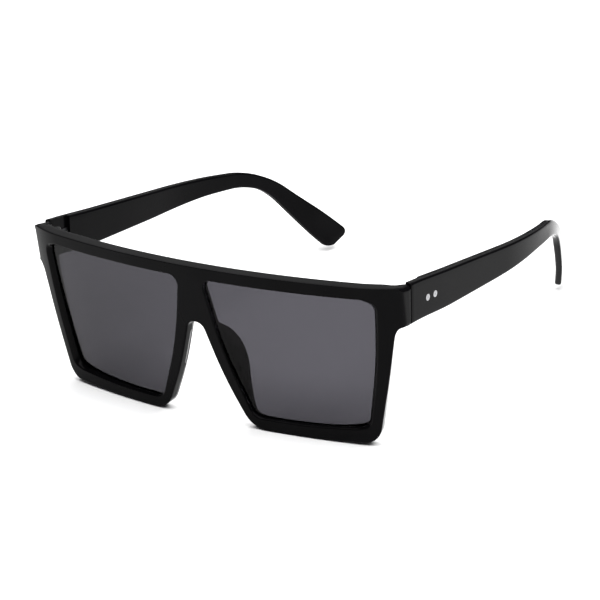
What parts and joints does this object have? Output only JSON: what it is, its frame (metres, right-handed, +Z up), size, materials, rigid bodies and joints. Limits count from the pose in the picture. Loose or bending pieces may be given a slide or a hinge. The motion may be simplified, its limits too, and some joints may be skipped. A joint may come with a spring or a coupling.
{
  "type": "square sunglasses",
  "caption": "Oversized square sunglasses with a flat top bar, wrapped moulded front, tinted lenses, built-in nose pads and temples that fold on barrel hinges.",
  "frame": {"origin": "middle of the footprint of the open glasses, on the surface they rest on", "axes": "+X to the wearer's left, +Y from the front back to the temple tips, +Z up; the front faces -Y"},
  "size_m": [0.143, 0.1522, 0.0536],
  "materials": {
    "frame_plastic": "moulded black, satin gloss",
    "smoke_lens": "smoke grey tint, polished",
    "hinge_steel": "nickelled, fine brushed",
    "screw_steel": "turned",
    "rivet_metal": "polished"
  },
  "bodies": {
    "front": {"front_frame": "frame_plastic", "left_lens": "smoke_lens", "right_lens": "smoke_lens", "left_front_hinge": "hinge_steel", "right_front_hinge": "hinge_steel", "left_hinge_screw": "screw_steel", "right_hinge_screw": "screw_steel"},
    "left_arm": {"left_temple": "frame_plastic", "left_temple_hinge": "hinge_steel", "left_front_rivet": "rivet_metal", "left_rear_rivet": "rivet_metal"},
    "right_arm": {"right_temple": "frame_plastic", "right_temple_hinge": "hinge_steel", "right_front_rivet": "rivet_metal", "right_rear_rivet": "rivet_metal"}
  },
  "joints": [
    {"name": "left_fold", "type": "hinge", "parent": "front", "child": "left_arm", "pos_m": [0.06615, -0.06, 0.0465], "axis": [0, 0, 1], "range_deg": [0, 72]},
    {"name": "right_fold", "type": "hinge", "parent": "front", "child": "right_arm", "pos_m": [-0.06615, -0.06, 0.0465], "axis": [0, 0, -1], "range_deg": [0, 82]}
  ]
}
